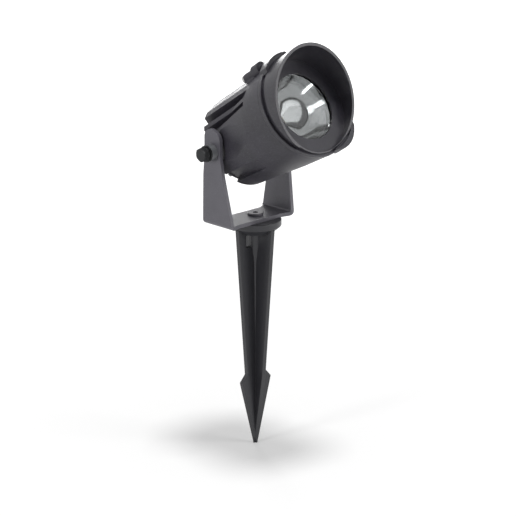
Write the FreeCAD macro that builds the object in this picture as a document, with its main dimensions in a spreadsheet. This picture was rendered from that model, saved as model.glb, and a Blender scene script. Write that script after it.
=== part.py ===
# Garden spike spotlight: a finned lamp head that tilts in a U bracket on a barbed ground spike.
# Millimetres. +Z is up and the lamp faces -Y. The origin is on the spike's axis at the ground line,
# which is the underside of the spike's flange.
import FreeCAD, Part
import math
import os
from collections import namedtuple

import Sketcher
from FreeCAD import Placement, Rotation, Vector

os.makedirs("parts", exist_ok=True)
doc = FreeCAD.newDocument("GardenSpikeSpotlight")
sheet = doc.addObject("Spreadsheet::Sheet", "Sizes")

Circle = namedtuple("Circle", "x y radius")
pieces = {}


class Size:
    # A number together with the sheet formula that gives it.
    def __init__(self, value, formula):
        self.value = value
        self.formula = formula

    def joined(self, sign, other, value):
        return Size(value, f"({self.formula} {sign} {as_size(other).formula})")

    def __add__(self, other):
        return self.joined("+", other, self.value + as_size(other).value)

    def __sub__(self, other):
        return self.joined("-", other, self.value - as_size(other).value)

    def __mul__(self, other):
        return self.joined("*", other, self.value * as_size(other).value)

    def __truediv__(self, other):
        return self.joined("/", other, self.value / as_size(other).value)

    def __neg__(self):
        return self * -1

    __radd__ = __add__
    __rmul__ = __mul__


def as_size(number):
    if isinstance(number, Size):
        return number
    return Size(float(number), f"({float(number):.6f})")


sheet_rows = []


def size(alias, value):
    # Writes one driving dimension into the sheet.
    sheet_rows.append(alias)
    row = len(sheet_rows)
    sheet.set(f"A{row}", alias)
    sheet.set(f"B{row}", str(value))
    sheet.setAlias(f"B{row}", alias)
    return Size(float(value), f"Sizes.{alias}")


# ---- Driving dimensions -------------------------------------------------------------------------

# Fit between parts that are screwed or slid together.
play = size("play", 0.05)

# Spike
spike_length = size("spike_length", 180)
flange_radius = size("flange_radius", 20.3)
flange_height = size("flange_height", 5)
skirt_radius = size("skirt_radius", 14.5)
skirt_depth = size("skirt_depth", 5)
web_thickness = size("web_thickness", 3.6)
web_top_reach = size("web_top_reach", 19.6)
web_neck_reach = size("web_neck_reach", 9.7)
neck_depth = size("neck_depth", 121)
barb_reach = size("barb_reach", 15.2)
barb_depth = size("barb_depth", 127)
core_radius = size("core_radius", 5.6)
window_width = size("window_width", 5.6)
window_height = size("window_height", 10)
window_depth = size("window_depth", 6.6)

# Bracket, bent from one strip
strip = size("strip", 3)
bracket_shift = size("bracket_shift", -5.6)
waist_half = size("waist_half", 12)
corner_half = size("corner_half", 15.9)
corner_middle = size("corner_middle", 1.4)
arm_reach = size("arm_reach", 33.3)
arm_splay = size("arm_splay", 3)
arm_joggle = size("arm_joggle", 46)
arm_front = size("arm_front", -4.9)
arm_back = size("arm_back", 12.2)
arm_top = size("arm_top", 15)
arm_top_back = size("arm_top_back", 20.5)
bend_radius = size("bend_radius", 4.5)

# Pivot and fasteners, M6
pivot_height = size("pivot_height", 64.6)
pivot_back = size("pivot_back", 3.5)
bolt_radius = size("bolt_radius", 3)
hex_flats = size("hex_flats", 10)
hex_height = size("hex_height", 4)
washer_height = size("washer_height", 1.2)
washer_radius = size("washer_radius", 6.4)
spring_height = size("spring_height", 1.6)
spring_radius = size("spring_radius", 5.3)
spacer_radius = size("spacer_radius", 6.6)
spacer_height = size("spacer_height", 5.5)
friction_height = size("friction_height", 2)
friction_radius = size("friction_radius", 9)
pivot_thread = size("pivot_thread", 7)
insert_radius = size("insert_radius", 4.2)
insert_length = size("insert_length", 14)
base_bolt_length = size("base_bolt_length", 16)
base_head_radius = size("base_head_radius", 6.2)
base_head_height = size("base_head_height", 1.8)
glide_radius = size("glide_radius", 8)
glide_height = size("glide_height", 1)

# Lamp head, measured along its axis from the pivot
rest_tilt = size("rest_tilt", 33.4)
rear_face = size("rear_face", -8)
core_rear = size("core_rear", 30.8)
core_front = size("core_front", 38.3)
core_front_depth = size("core_front_depth", 46)
collar_radius = size("collar_radius", 41)
housing_front = size("housing_front", 72)
fin_top = size("fin_top", 39.2)
fin_shoulder = size("fin_shoulder", 38.8)
thin_fin = size("thin_fin", 36.6)
fin_side = size("fin_side", 35.6)
fin_front = size("fin_front", 54)
top_slot_pitch = 14
pad_angle = 35
deep_slot_angle = 48.5
side_slot_angle = 61
slot_width = size("slot_width", 4.4)
deep_slot_width = size("deep_slot_width", 6.2)
side_slot_width = size("side_slot_width", 3.6)
slot_rear_radius = size("slot_rear_radius", 29.5)
slot_front_radius = size("slot_front_radius", 33.4)
slot_ramp = size("slot_ramp", 35)
slot_front = size("slot_front", 46.5)
low_slot_width = size("low_slot_width", 11)
low_slot_radius = size("low_slot_radius", 25.5)
low_slot_front = size("low_slot_front", 36)
flat_end = size("flat_end", 15)
chamber_radius = size("chamber_radius", 19.5)
platform_rear = size("platform_rear", 28)
platform_front = size("platform_front", 34)
cavity_radius = size("cavity_radius", 30.4)
seat_radius = size("seat_radius", 36.4)
seat_depth = size("seat_depth", 6)
lead_hole_radius = size("lead_hole_radius", 2.4)
lead_drop = size("lead_drop", 17.4)

# Clamping ears: bezel to housing, M3
upper_ear = -24
lower_ear = 140
ear_ring = size("ear_ring", 41.6)
ear_screw_radius = size("ear_screw_radius", 1.5)
ear_screw_head = size("ear_screw_head", 3)
ear_screw_head_height = size("ear_screw_head_height", 2.6)
lug_radius = size("lug_radius", 3.4)
lug_rear = size("lug_rear", 46)
lug_boss = size("lug_boss", 5.3)
lug_boss_rear = size("lug_boss_rear", 58)
rib_radius = size("rib_radius", 2.4)
horn_reach = size("horn_reach", 44)
crescent_reach = size("crescent_reach", 47.2)
ear_height = size("ear_height", 8)

# Bezel and hood
bezel_radius = size("bezel_radius", 41.3)
bezel_height = size("bezel_height", 3)
bezel_opening = size("bezel_opening", 26.3)
bezel_floor = size("bezel_floor", 1.6)
hood_radius = size("hood_radius", 40.1)
hood_inner = size("hood_inner", 37.8)
hood_spigot = size("hood_spigot", 38.9)
hood_shoulder = size("hood_shoulder", 6)
hood_rim_middle = size("hood_rim_middle", 87.8)
hood_rim_rise = size("hood_rim_rise", 12.3)

# Glass, gasket and reflector
glass_radius = size("glass_radius", 36.2)
glass_height = size("glass_height", 4)
gasket_inner = size("gasket_inner", 33.8)
reflector_wall = size("reflector_wall", 0.8)
reflector_mouth = size("reflector_mouth", 27.5)
reflector_neck = size("reflector_neck", 7.4)
reflector_flange = size("reflector_flange", 33.4)

# LED stack
pad_side = size("pad_side", 20)
pad_height = size("pad_height", 0.5)
board_side = size("board_side", 19)
board_height = size("board_height", 1.5)
emitter_radius = size("emitter_radius", 6)
emitter_height = size("emitter_height", 0.6)
holder_radius = size("holder_radius", 15.5)
holder_height = size("holder_height", 2.4)
holder_opening = size("holder_opening", 8)
holder_screw_place = size("holder_screw_place", 12.8)
small_screw_radius = size("small_screw_radius", 1.25)
small_head_radius = size("small_head_radius", 2.2)
small_head_height = size("small_head_height", 1.7)

# Rear cover and cable gland
cover_radius = size("cover_radius", 26)
cover_height = size("cover_height", 3)
cover_spigot = size("cover_spigot", 1.5)
cover_screw_ring = size("cover_screw_ring", 23.7)
cover_screw_length = size("cover_screw_length", 9)
seal_ring = size("seal_ring", 20.9)
seal_radius = size("seal_radius", 0.75)
gland_thread = size("gland_thread", 6.2)
gland_flats = size("gland_flats", 16)
gland_collar = size("gland_collar", 4)
gland_gasket = size("gland_gasket", 1.2)
gland_nose = size("gland_nose", 5)
gland_cap = size("gland_cap", 9)
gland_bore = size("gland_bore", 4.4)
cable_radius = size("cable_radius", 3.2)
gland_seal_radius = size("gland_seal_radius", 5.2)
locknut_height = size("locknut_height", 3)

# Driver
driver_rear = size("driver_rear", -2.5)
driver_front = size("driver_front", 27.6)
driver_half = size("driver_half", 18)
driver_drop = size("driver_drop", 6)
driver_board_height = size("driver_board_height", 1.6)
lead_radius = size("lead_radius", 0.6)
lead_spacing = size("lead_spacing", 1.6)

doc.recompute()

# ---- Frames -------------------------------------------------------------------------------------

GROUND = Placement()
BRACKET = Placement(Vector(bracket_shift.value, 0, 0), Rotation())
PIVOT = Vector(bracket_shift.value, pivot_back.value, pivot_height.value)
# In the head's own frame Z runs forward along the lamp's axis, Y is the lamp's upper side.
HEAD = Placement(PIVOT, Rotation(Vector(1, 0, 0), 90 - rest_tilt.value))

# ---- Drawing and feature helpers ----------------------------------------------------------------


def origin_part(body, role):
    for feature in body.Origin.OriginFeatures:
        if feature.Role == role:
            return feature
    raise LookupError(role)


def fix(sketch, constraint_type, first, second, amount):
    # Adds a dimension and binds it to the sheet.
    amount = as_size(amount)
    index = sketch.addConstraint(Sketcher.Constraint(constraint_type, *first, *second, amount.value))
    if "Sizes." in amount.formula:
        sketch.setExpression(f"Constraints[{index}]", amount.formula)


def fix_point(sketch, geometry, position, x, y):
    fix(sketch, "DistanceX", (-1, 1), (geometry, position), x)
    fix(sketch, "DistanceY", (-1, 1), (geometry, position), y)


def draw_circle(sketch, shape):
    x, y, radius = (as_size(part) for part in shape)
    circle = Part.Circle(Vector(x.value, y.value, 0), Vector(0, 0, 1), radius.value)
    geometry = sketch.addGeometry(circle)
    fix_point(sketch, geometry, 3, x, y)
    fix(sketch, "Radius", (geometry,), (), radius)


def corner_arc(before, corner, after, radius):
    # The tangent arc at a corner: its geometry, where it starts, where it ends, and its turn.
    back = (before - corner).normalize()
    ahead = (after - corner).normalize()
    half_angle = back.getAngle(ahead) / 2
    start = corner + back * (radius / math.tan(half_angle))
    end = corner + ahead * (radius / math.tan(half_angle))
    centre = corner + (back + ahead).normalize() * (radius / math.sin(half_angle))
    turns_left = (-back).cross(ahead).z > 0
    first, last = (start, end) if turns_left else (end, start)
    angles = [math.atan2(point.y - centre.y, point.x - centre.x) for point in (first, last)]
    circle = Part.Circle(centre, Vector(0, 0, 1), radius)
    return Part.ArcOfCircle(circle, *angles), start, end, turns_left


def draw_outline(sketch, corners):
    # One closed outline. A corner is (x, y), or (x, y, radius) where it is rounded.
    count = len(corners)
    points = [Vector(as_size(corner[0]).value, as_size(corner[1]).value, 0) for corner in corners]
    arcs = {}
    starts = list(points)
    ends = list(points)
    for index, corner in enumerate(corners):
        if len(corner) == 3:
            radius = as_size(corner[2]).value
            arc = corner_arc(points[index - 1], points[index], points[(index + 1) % count], radius)
            arcs[index] = arc
            ends[index], starts[index] = arc[1], arc[2]
    lines = []
    for index in range(count):
        line = Part.LineSegment(starts[index], ends[(index + 1) % count])
        lines.append(sketch.addGeometry(line))
    for index, corner in enumerate(corners):
        incoming, outgoing = lines[index - 1], lines[index]
        if index not in arcs:
            sketch.addConstraint(Sketcher.Constraint("Coincident", incoming, 2, outgoing, 1))
            fix_point(sketch, outgoing, 1, corner[0], corner[1])
            continue
        curve, start, end, turns_left = arcs[index]
        arc = sketch.addGeometry(curve)
        tip = sketch.addGeometry(Part.Point(points[index]), True)
        fix_point(sketch, tip, 1, corner[0], corner[1])
        sketch.addConstraint(Sketcher.Constraint("PointOnObject", tip, 1, incoming))
        sketch.addConstraint(Sketcher.Constraint("PointOnObject", tip, 1, outgoing))
        sides = (1, 2) if turns_left else (2, 1)
        sketch.addConstraint(Sketcher.Constraint("Tangent", incoming, 2, arc, sides[0]))
        sketch.addConstraint(Sketcher.Constraint("Tangent", outgoing, 1, arc, sides[1]))
        fix(sketch, "Radius", (arc,), (), corner[2])


def drawn(body, plane, shapes, offset=0, spin=0):
    # A sketch on one of the body's own planes, spun about the plane's upward axis by spin degrees.
    offset = as_size(offset)
    sketch = body.newObject("Sketcher::SketchObject", f"{body.Name}Sketch")
    sketch.AttachmentSupport = [(origin_part(body, plane), "")]
    sketch.MapMode = "FlatFace"
    sketch.AttachmentOffset = Placement(Vector(0, 0, offset.value), Rotation(Vector(0, 1, 0), spin))
    if "Sizes." in offset.formula:
        sketch.setExpression("AttachmentOffset.Base.z", offset.formula)
    for shape in shapes:
        if isinstance(shape, Circle):
            draw_circle(sketch, shape)
        else:
            draw_outline(sketch, shape)
    return sketch


def new_body(label, frame=GROUND):
    body = doc.addObject("PartDesign::Body", label)
    body.Label = label
    body.Placement = frame
    pieces[label] = body
    return body


def turned(label, corners, frame=GROUND):
    # A piece turned about its own Z axis; each corner is (radius, height).
    body = new_body(label, frame)
    feature = body.newObject("PartDesign::Revolution", f"{label}Turned")
    sketch = drawn(body, "XZ_Plane", [corners])
    feature.Profile = sketch
    feature.ReferenceAxis = (sketch, ["V_Axis"])
    feature.Angle = 360
    body.Tip = feature
    doc.recompute()
    return body


def extrude(body, kind, sketch, length, symmetric, reverse):
    feature = body.newObject(kind, f"{body.Name}Step")
    feature.Profile = sketch
    feature.SideType = "Symmetric" if symmetric else "One side"
    feature.Reversed = reverse
    if length is None:
        feature.Type = "ThroughAll"
    else:
        length = as_size(length)
        feature.Length = length.value
        if "Sizes." in length.formula:
            feature.setExpression("Length", length.formula)
    body.Tip = feature
    return feature


def add(body, plane, shapes, length, offset=0, symmetric=False, reverse=False):
    sketch = drawn(body, plane, shapes, offset)
    feature = extrude(body, "PartDesign::Pad", sketch, length, symmetric, reverse)
    doc.recompute()
    return feature


def cut(body, plane, shapes, length=None, offset=0, symmetric=False, reverse=False, spin=0):
    # Removes material, and stops the build if nothing went.
    before = body.Shape.Volume
    sketch = drawn(body, plane, shapes, offset, spin)
    feature = extrude(body, "PartDesign::Pocket", sketch, length, symmetric, reverse)
    doc.recompute()
    if body.Shape.Volume > before - 0.01:
        raise ValueError(f"a cut in {body.Label} removes nothing")
    return feature


def padded(label, plane, shapes, length, offset=0, frame=GROUND, symmetric=False, reverse=False):
    body = new_body(label, frame)
    add(body, plane, shapes, length, offset, symmetric, reverse)
    return body


def round_groove(body, corners):
    # Removes a turned profile from the body.
    before = body.Shape.Volume
    sketch = drawn(body, "XZ_Plane", [corners])
    feature = body.newObject("PartDesign::Groove", f"{body.Name}Groove")
    feature.Profile = sketch
    feature.ReferenceAxis = (sketch, ["V_Axis"])
    feature.Angle = 360
    body.Tip = feature
    doc.recompute()
    if body.Shape.Volume > before - 0.01:
        raise ValueError(f"a groove in {body.Label} removes nothing")
    return feature


def repeat_round(body, feature, count, sweep):
    # Repeats one feature round the body's Z axis, over sweep degrees from the first to the last.
    pattern = body.newObject("PartDesign::PolarPattern", f"{body.Name}Repeat")
    pattern.Originals = [feature]
    pattern.Axis = (origin_part(body, "Z_Axis"), [""])
    pattern.Angle = sweep
    pattern.Occurrences = count
    body.Tip = pattern
    doc.recompute()


def rectangle(left, right, low, high):
    return [(left, low), (right, low), (right, high), (left, high)]


def hexagon(flats, x=0, y=0):
    corner = as_size(flats) / math.sqrt(3)
    turn = math.pi / 3
    return [(corner * math.cos(k * turn) + x, corner * math.sin(k * turn) + y) for k in range(6)]


def polar(ring, angle, sideways=0):
    # A point at a radius and an angle from +Y towards +X, moved sideways along the circle.
    turn = math.radians(angle)
    across = as_size(sideways)
    x = as_size(ring) * math.sin(turn) + across * math.cos(turn)
    y = as_size(ring) * math.cos(turn) - across * math.sin(turn)
    return x, y


# ---- Solid primitives for fasteners and small standard pieces -----------------------------------


def primitive(kind, name, frame, place, **amounts):
    solid = doc.addObject(kind, name)
    for attribute, amount in amounts.items():
        amount = as_size(amount)
        setattr(solid, attribute, amount.value)
        if "Sizes." in amount.formula:
            solid.setExpression(attribute, amount.formula)
    solid.Placement = frame * place
    return solid


def tube(name, frame, place, outer, inner, height):
    wall = primitive("Part::Cylinder", f"{name}Wall", frame, place, Radius=outer, Height=height)
    bore = primitive("Part::Cylinder", f"{name}Bore", frame, place, Radius=inner, Height=height)
    ring = doc.addObject("Part::Cut", name)
    ring.Base = wall
    ring.Tool = bore
    return ring


def along(axis, distance, x=0.0, y=0.0):
    # A place on an axis: "up" is +Z, "right" and "left" are +X and -X, all starting at the distance.
    turns = {"up": Rotation(), "down": Rotation(Vector(1, 0, 0), 180),
             "right": Rotation(Vector(0, 1, 0), 90), "left": Rotation(Vector(0, 1, 0), -90)}
    bases = {"up": Vector(x, y, distance), "down": Vector(x, y, distance),
             "right": Vector(distance, x, y), "left": Vector(-distance, x, y)}
    return Placement(bases[axis], turns[axis])


def moved(place, distance):
    # The same place, further along its own axis.
    return place * Placement(Vector(0, 0, distance), Rotation())


def hex_bolt(name, frame, place, radius, length, flats, head_height):
    # The shank starts at the place and runs along its axis; the head sits beyond it.
    shank = primitive("Part::Cylinder", f"{name}Shank", frame, place, Radius=radius, Height=length)
    head_place = moved(place, as_size(length).value)
    head = primitive("Part::Prism", f"{name}Head", frame, head_place,
                     Circumradius=as_size(flats) / math.sqrt(3), Height=head_height)
    head.Polygon = 6
    bolt = doc.addObject("Part::MultiFuse", name)
    bolt.Shapes = [shank, head]
    return bolt


def round_screw(name, frame, place, radius, length, head_radius, head_height):
    shank = primitive("Part::Cylinder", f"{name}Shank", frame, place, Radius=radius, Height=length)
    head_place = moved(place, as_size(length).value)
    head = primitive("Part::Cylinder", f"{name}Head", frame, head_place,
                     Radius=head_radius, Height=head_height)
    screw = doc.addObject("Part::MultiFuse", name)
    screw.Shapes = [shank, head]
    return screw


def group(label, members):
    # Identical pieces share one node as separate solids.
    node = doc.addObject("Part::Compound", label)
    node.Label = label
    node.Links = members
    pieces[label] = node
    return node


# ---- Ground part --------------------------------------------------------------------------------


def make_spike():
    tip = 0.5
    body = turned("spike", [
        (0, flange_height),
        (flange_radius, flange_height, 0.8),
        (flange_radius, 0, 1.2),
        (skirt_radius, -skirt_depth),
        (core_radius, -skirt_depth),
        (core_radius, -skirt_depth * 2.6),
        (core_radius * 0.6, -skirt_depth * 6),
        (core_radius * 0.4, -neck_depth),
        (tip, -spike_length),
        (0, -spike_length),
    ])
    barbed = [
        (-web_top_reach, -skirt_depth * 0.2),
        (-web_neck_reach, -neck_depth),
        (-barb_reach, -barb_depth, 0.8),
        (-tip, -spike_length),
        (tip, -spike_length),
        (barb_reach, -barb_depth, 0.8),
        (web_neck_reach, -neck_depth),
        (web_top_reach, -skirt_depth * 0.2),
    ]
    plain = [
        (-web_top_reach, -skirt_depth * 0.2),
        (-web_neck_reach, -neck_depth),
        (-tip, -spike_length),
        (tip, -spike_length),
        (web_neck_reach, -neck_depth),
        (web_top_reach, -skirt_depth * 0.2),
    ]
    add(body, "XZ_Plane", [barbed], web_thickness, symmetric=True)
    add(body, "YZ_Plane", [plain], web_thickness, symmetric=True)
    window_near = core_radius + 0.3
    window_low = -window_depth - window_height
    windows = []
    for side in (-1, 1):
        near = window_near * side
        far = (window_near + window_width) * side
        windows.append(rectangle(near, far, window_low, -window_depth))
    cut(body, "XZ_Plane", windows, web_thickness * 2, symmetric=True)
    cut(body, "XY_Plane", [Circle(0, 0, insert_radius)], insert_length, offset=flange_height)
    cut(body, "XY_Plane", [Circle(0, 0, bolt_radius + play)], 3, offset=flange_height - insert_length)
    # The recess that holds the glide washer flush with the flange.
    cut(body, "XY_Plane", [Circle(0, 0, glide_radius)], glide_height, offset=flange_height)


def make_threaded_insert():
    bottom = flange_height - insert_length
    place = along("up", bottom.value)
    insert = tube("threaded_insert", GROUND, place, insert_radius, bolt_radius + play, insert_length)
    pieces["threaded_insert"] = insert


def make_base_fasteners():
    glide = tube("glide_washer", GROUND, along("up", (flange_height - glide_height).value),
                 glide_radius, insert_radius + play, glide_height)
    pieces["glide_washer"] = glide
    head_bottom = flange_height + strip
    bolt = round_screw("base_bolt", GROUND, along("up", (head_bottom - base_bolt_length).value),
                       bolt_radius, base_bolt_length, base_head_radius, base_head_height)
    pieces["base_bolt"] = bolt


# ---- Bracket ------------------------------------------------------------------------------------


def make_bracket():
    top = pivot_height + arm_top
    crest = pivot_height + arm_top_back
    low = flange_height
    outer_top = arm_reach + arm_splay
    right_side = [
        (arm_reach, low, bend_radius),
        (outer_top, arm_joggle, 12),
        (outer_top, crest + 1),
        (outer_top - strip, crest + 1),
        (outer_top - strip, arm_joggle, 12),
        (arm_reach - strip, low + strip, bend_radius - strip),
    ]
    left_side = [(-corner[0],) + corner[1:] for corner in reversed(right_side)]
    body = padded("bracket", "XZ_Plane", [right_side + left_side], corner_half * 2.4,
                  frame=BRACKET, symmetric=True)
    beyond = corner_half * 1.5
    arm_shape = [
        (corner_middle - corner_half, low - 1),
        (corner_middle - corner_half, low + 2, 2),
        (arm_front, pivot_height - 3, 20),
        (arm_front, top, 8.4),
        (arm_back, crest, 7),
        (arm_back, pivot_height - 3, 20),
        (corner_middle + corner_half, low + 2, 2),
        (corner_middle + corner_half, low - 1),
    ]
    cut(body, "YZ_Plane", [rectangle(-beyond, beyond, low - 2, crest + 2), arm_shape], symmetric=True)
    # The base narrows between the two arms.
    waist_flare = 5
    for side in (-1, 1):
        corner = corner_middle + corner_half * side
        bite = [
            (-arm_reach + 1, beyond * side),
            (-arm_reach + 1, corner),
            (-arm_reach + 1 + waist_flare * 2, waist_half * side, 9),
            (arm_reach - 1 - waist_flare * 2, waist_half * side, 9),
            (arm_reach - 1, corner),
            (arm_reach - 1, beyond * side),
        ]
        cut(body, "XY_Plane", [bite], strip + 1, offset=low + strip)
    bolt_hole = Circle(-bracket_shift, 0, bolt_radius + play)
    cut(body, "XY_Plane", [bolt_hole], symmetric=True)
    cut(body, "YZ_Plane", [Circle(pivot_back, pivot_height, bolt_radius + play)], symmetric=True)


# ---- Tilt pivots --------------------------------------------------------------------------------


def make_pivot_hardware():
    arm_outer = arm_reach + arm_splay
    boss_face = arm_outer - strip - friction_height
    washer_start = arm_outer + spacer_height
    spring_start = washer_start + washer_height
    head_start = spring_start + spring_height
    shank_start = boss_face - pivot_thread
    bore = bolt_radius + play
    stacks = {"pivot_bolts": [], "pivot_spring_washers": [], "pivot_flat_washers": [],
              "pivot_spacers": [], "friction_washers": []}
    for side in ("left", "right"):
        stacks["friction_washers"].append(
            tube(f"FrictionWasher{side}", HEAD, along(side, boss_face.value),
                 friction_radius, bore, friction_height))
        stacks["pivot_spacers"].append(
            tube(f"Spacer{side}", HEAD, along(side, arm_outer.value),
                 spacer_radius, bore, spacer_height))
        stacks["pivot_flat_washers"].append(
            tube(f"FlatWasher{side}", HEAD, along(side, washer_start.value),
                 washer_radius, bore, washer_height))
        stacks["pivot_spring_washers"].append(
            tube(f"SpringWasher{side}", HEAD, along(side, spring_start.value),
                 spring_radius, bore, spring_height))
        stacks["pivot_bolts"].append(
            hex_bolt(f"PivotBolt{side}", HEAD, along(side, shank_start.value), bolt_radius,
                     head_start - shank_start, hex_flats, hex_height))
    for label, members in stacks.items():
        group(label, members)


# ---- Lamp head: housing, bezel, hood ------------------------------------------------------------


def ear_root(half_width, reach, angle, inner):
    # The wide foot of an ear, from inside the wall out to the screw.
    return [
        polar(inner, angle, -half_width * 1.7),
        polar(reach, angle, -half_width),
        polar(reach, angle, half_width),
        polar(inner, angle, half_width * 1.7),
    ]


def make_housing():
    seat = housing_front - seat_depth
    body = turned("heat_sink_housing", [
        (0, rear_face),
        (core_rear, rear_face, 0.8),
        (core_front, core_front_depth, 20),
        (collar_radius, housing_front - 1, 1),
        (collar_radius, housing_front),
        (seat_radius, housing_front),
        (seat_radius, seat),
        (cavity_radius, seat),
        (cavity_radius, platform_front),
        (0, platform_front),
    ], HEAD)
    # The raised block of fins over the lamp, flat-topped between its slots, sloped at the rear.
    lip_angle = (deep_slot_angle + side_slot_angle) / 2 + 1
    shoulder_angle = deep_slot_angle - 3
    fins = [
        polar(fin_side, -side_slot_angle),
        polar(thin_fin, -lip_angle),
        polar(fin_shoulder, -shoulder_angle),
        polar(fin_top - 0.2, -pad_angle),
        polar(fin_top, -top_slot_pitch + 2),
        polar(fin_top, top_slot_pitch - 2),
        polar(fin_top - 0.2, pad_angle),
        polar(fin_shoulder, shoulder_angle),
        polar(thin_fin, lip_angle),
        polar(fin_side, side_slot_angle),
    ]
    add(body, "XY_Plane", [fins], fin_front - rear_face, offset=rear_face)
    beyond = collar_radius + 4
    round_groove(body, [
        (core_rear - 0.2, rear_face - 0.5),
        (beyond, rear_face - 0.5),
        (beyond, rear_face + 8),
    ])
    round_groove(body, [
        (0, rear_face - 1),
        (chamber_radius, rear_face - 1),
        (chamber_radius, platform_rear),
        (0, platform_rear),
    ])
    round_groove(body, [
        (0, platform_front),
        (cavity_radius, platform_front),
        (cavity_radius, fin_front + 1),
        (0, fin_front + 1),
    ])
    # Upper cooling slots, each rising to the surface at its front end.
    slot = [
        (slot_rear_radius, rear_face - 1),
        (beyond, rear_face - 1),
        (beyond, slot_front + 6.5),
        (slot_front_radius, slot_front, 4),
    ]
    slots = cut(body, "YZ_Plane", [slot], slot_width, symmetric=True, spin=-top_slot_pitch)
    repeat_round(body, slots, 3, top_slot_pitch * 2)
    deep_slot = [
        (slot_rear_radius, rear_face - 1),
        (beyond, rear_face - 1),
        (beyond, fin_front + 1),
        (fin_shoulder, fin_front - 2),
        (slot_front_radius - 0.6, slot_ramp, 6),
    ]
    for side in (-1, 1):
        cut(body, "YZ_Plane", [deep_slot], deep_slot_width, symmetric=True, spin=side * deep_slot_angle)
        cut(body, "YZ_Plane", [slot], side_slot_width, symmetric=True, spin=side * side_slot_angle)
    # Two wide, shallow slots underneath.
    low_slot = [
        (low_slot_radius, rear_face - 1),
        (beyond, rear_face - 1),
        (beyond, low_slot_front + 8),
        (core_front - 1.6, low_slot_front, 12),
    ]
    for angle in (-135, 135):
        cut(body, "YZ_Plane", [low_slot], low_slot_width, symmetric=True, spin=angle)
    # Flat sides that pass between the bracket's arms and ease out towards the front.
    boss_face = arm_reach + arm_splay - strip - friction_height
    flats = []
    for side in (-1, 1):
        flats.append([
            (boss_face * side, rear_face - 2),
            (boss_face * side, flat_end, 60),
            (collar_radius * side, core_front_depth + 12),
            (beyond * side, core_front_depth + 12),
            (beyond * side, rear_face - 2),
        ])
    cut(body, "XZ_Plane", flats, symmetric=True)
    # Pivot bosses and their threaded holes.
    boss_depth = pivot_thread + 0.4
    boss_root = boss_face - boss_depth
    boss = [Circle(0, 0, friction_radius + 0.6)]
    add(body, "YZ_Plane", boss, boss_depth, offset=boss_root)
    add(body, "YZ_Plane", boss, boss_depth, offset=-boss_root, reverse=True)
    cut(body, "XY_Plane", [rectangle(-beyond, beyond, -beyond, beyond)], 4, offset=rear_face)
    thread = [Circle(0, 0, bolt_radius + play)]
    cut(body, "YZ_Plane", thread, pivot_thread + 0.2, offset=boss_face)
    cut(body, "YZ_Plane", thread, pivot_thread + 0.2, offset=-boss_face, reverse=True)
    # Lugs that the bezel's screws run through.
    boss_length = seat - lug_boss_rear
    lug_length = lug_boss_rear - lug_rear
    for angle, boss_radius in ((upper_ear, lug_boss), (lower_ear, lug_radius)):
        place = polar(ear_ring, angle)
        add(body, "XY_Plane", [ear_root(3, ear_ring, angle, 36)], lug_length, offset=lug_rear)
        add(body, "XY_Plane", [Circle(*place, lug_radius)], lug_length, offset=lug_rear)
        add(body, "XY_Plane", [Circle(*place, boss_radius)], boss_length, offset=lug_boss_rear)
        add(body, "XY_Plane", [Circle(*place, rib_radius)], seat_depth, offset=seat)
        cut(body, "XY_Plane", [Circle(*place, ear_screw_radius + play)],
            housing_front - lug_rear, offset=housing_front)
    # Small holes: rear cover screws, LED holder screws and the lead hole.
    small = small_screw_radius + play
    cover_holes = [Circle(*polar(cover_screw_ring, 45 + 90 * k), small) for k in range(4)]
    cut(body, "XY_Plane", cover_holes, cover_screw_length - 1, offset=rear_face, reverse=True)
    holder_holes = [Circle(holder_screw_place * side, 0, small) for side in (-1, 1)]
    cut(body, "XY_Plane", holder_holes, 5, offset=platform_front)
    cut(body, "XY_Plane", [Circle(0, -lead_drop, lead_hole_radius)],
        platform_front - platform_rear, offset=platform_front)


def make_bezel():
    front = housing_front + bezel_height
    floor = housing_front + bezel_floor
    shoulder = housing_front + hood_shoulder
    ear_front = housing_front + ear_height
    pocket = hood_spigot + play * 2
    body = turned("bezel_ring", [
        (bezel_opening, housing_front),
        (bezel_radius, housing_front, 0.4),
        (bezel_radius, front, 0.7),
        (pocket, front),
        (pocket, floor),
        (bezel_opening, floor),
    ], HEAD)
    # Two ears stand forward of the ring: a long low one above and a crescent at the lower side.
    horn = [
        polar(40, -43),
        (*polar(horn_reach - 1, -39), 2),
        (*polar(horn_reach + 1.8, -21), 30),
        (*polar(horn_reach - 1, -3), 2),
        polar(40, 1),
    ]
    crescent = [
        polar(40, 120),
        (*polar(horn_reach - 1.6, 125), 2),
        (*polar(crescent_reach, 144), 24),
        (*polar(horn_reach - 1.6, 163), 2),
        polar(40, 168),
    ]
    for angle, ear in ((upper_ear, horn), (lower_ear, crescent)):
        place = polar(ear_ring, angle)
        add(body, "XY_Plane", [ear], ear_height, offset=housing_front)
        cut(body, "XY_Plane", [Circle(*place, ear_screw_radius + play)],
            ear_height - 2.3, offset=housing_front, reverse=True)
    # The ears leave room for the hood.
    round_groove(body, [
        (bezel_opening + 1, floor),
        (pocket, floor),
        (pocket, shoulder),
        (hood_radius + 0.2, shoulder),
        (hood_radius + 0.2, ear_front + 1),
        (bezel_opening + 1, ear_front + 1),
    ])


def make_bezel_screws():
    engaged = ear_height - 2.5
    length = housing_front + engaged - lug_rear
    screws = []
    for index, angle in enumerate((upper_ear, lower_ear)):
        x, y = polar(ear_ring, angle)
        place = along("down", (housing_front + engaged).value, x.value, y.value)
        screws.append(round_screw(f"BezelScrew{index}", HEAD, place, ear_screw_radius, length,
                                  ear_screw_head, ear_screw_head_height))
    group("bezel_screws", screws)


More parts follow.
